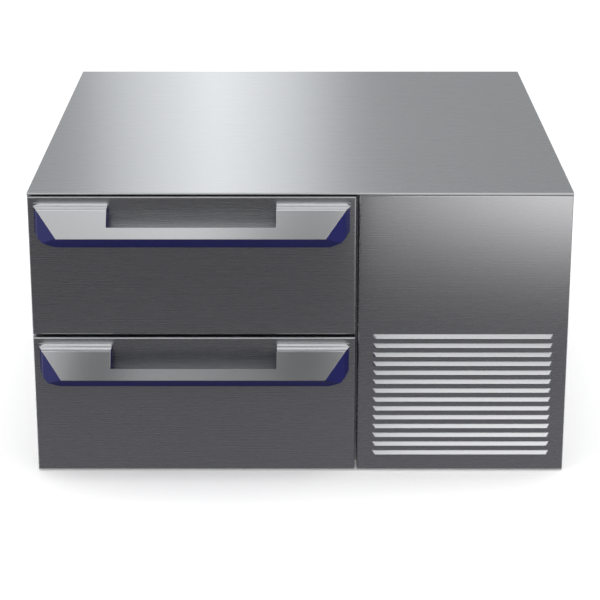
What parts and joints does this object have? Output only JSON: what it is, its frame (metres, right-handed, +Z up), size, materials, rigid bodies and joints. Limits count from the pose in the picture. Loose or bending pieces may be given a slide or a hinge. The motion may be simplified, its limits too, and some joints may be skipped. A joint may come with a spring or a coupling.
{
  "type": "undercounter drawer refrigerator",
  "caption": "Low stainless undercounter refrigerator with two insulated pull-out drawers, moulded grip handles, and a louvred compressor panel.",
  "frame": {"origin": "middle of the base on the floor", "axes": "+X to the right seen from the front, +Y to the back, +Z up; the drawers pull out towards -Y"},
  "size_m": [0.8, 0.881, 0.44],
  "materials": {
    "stainless": "brushed along the width",
    "handle_steel": "fine satin",
    "galvanised": "zinc-coated, dull",
    "zinc": "bright zinc plating",
    "navy_plastic": "moulded, slightly glossy",
    "grey_plastic": "moulded",
    "black_plastic": "moulded",
    "fan_plastic": "moulded",
    "foam": "rigid polyurethane foam",
    "seal_rubber": "soft extruded vinyl",
    "black_rubber": "moulded",
    "motor_black": "semi-gloss enamel",
    "aluminium": "mill finish fins",
    "copper": "drawn copper"
  },
  "bodies": {
    "cabinet": {"worktop": "stainless", "side_panel_left": "stainless", "side_panel_right": "stainless", "partition": "galvanised", "base_panel": "galvanised", "foot_bushes": "zinc", "back_panel": "galvanised", "cord_gland": "black_plastic", "front_frame": "stainless", "mullion": "stainless", "liner": "stainless", "insulation": "foam", "line_sleeve": "black_plastic", "compressor_panel": "stainless", "cabinet_runners": "zinc", "unit_base": "galvanised", "condenser_coil": "aluminium", "condenser_shroud": "galvanised", "condenser_fan_motor": "motor_black", "compressor_grommets": "black_rubber", "compressor": "motor_black", "compressor_terminal_cover": "black_plastic", "control_box": "grey_plastic", "condensate_tray": "black_plastic", "evaporator_cover": "stainless", "evaporator_fan_motor": "motor_black", "evaporator_coil": "aluminium", "drip_tray": "grey_plastic", "refrigerant_pipes": "copper", "filter_drier": "copper"},
    "upper_drawer": {"upper_front_skin": "stainless", "upper_front_liner": "grey_plastic", "upper_front_insulation": "foam", "upper_seal": "seal_rubber", "upper_drawer_frame": "stainless", "upper_drawer_runners": "zinc", "upper_handle_plate": "handle_steel", "upper_handle_moulding": "navy_plastic"},
    "upper_slides": {"upper_runner_slides": "zinc"},
    "lower_drawer": {"lower_front_skin": "stainless", "lower_front_liner": "grey_plastic", "lower_front_insulation": "foam", "lower_seal": "seal_rubber", "lower_drawer_frame": "stainless", "lower_drawer_runners": "zinc", "lower_handle_plate": "handle_steel", "lower_handle_moulding": "navy_plastic"},
    "lower_slides": {"lower_runner_slides": "zinc"},
    "condenser_fan": {"condenser_fan": "fan_plastic"},
    "evaporator_fan": {"evaporator_fan": "fan_plastic"}
  },
  "joints": [
    {"name": "upper_drawer_slide", "type": "slide", "parent": "cabinet", "child": "upper_drawer", "axis": [0, -1, 0], "range_m": [0, 0.55]},
    {"name": "upper_slides_slide", "type": "slide", "parent": "cabinet", "child": "upper_slides", "axis": [0, -1, 0], "range_m": [0, 0.275]},
    {"name": "lower_drawer_slide", "type": "slide", "parent": "cabinet", "child": "lower_drawer", "axis": [0, -1, 0], "range_m": [0, 0.55]},
    {"name": "lower_slides_slide", "type": "slide", "parent": "cabinet", "child": "lower_slides", "axis": [0, -1, 0], "range_m": [0, 0.275]},
    {"name": "condenser_fan_spin", "type": "hinge", "parent": "cabinet", "child": "condenser_fan", "pos_m": [0.243, -0.257, 0.1015], "axis": [0, 1, 0], "continuous": true},
    {"name": "evaporator_fan_spin", "type": "hinge", "parent": "cabinet", "child": "evaporator_fan", "pos_m": [-0.15787, 0.2275, 0.2205], "axis": [0, 1, 0], "continuous": true}
  ],
  "couplings": [
    {"joint": "upper_slides_slide", "follows": "upper_drawer_slide", "ratio": 0.5},
    {"joint": "lower_slides_slide", "follows": "lower_drawer_slide", "ratio": 0.5}
  ]
}
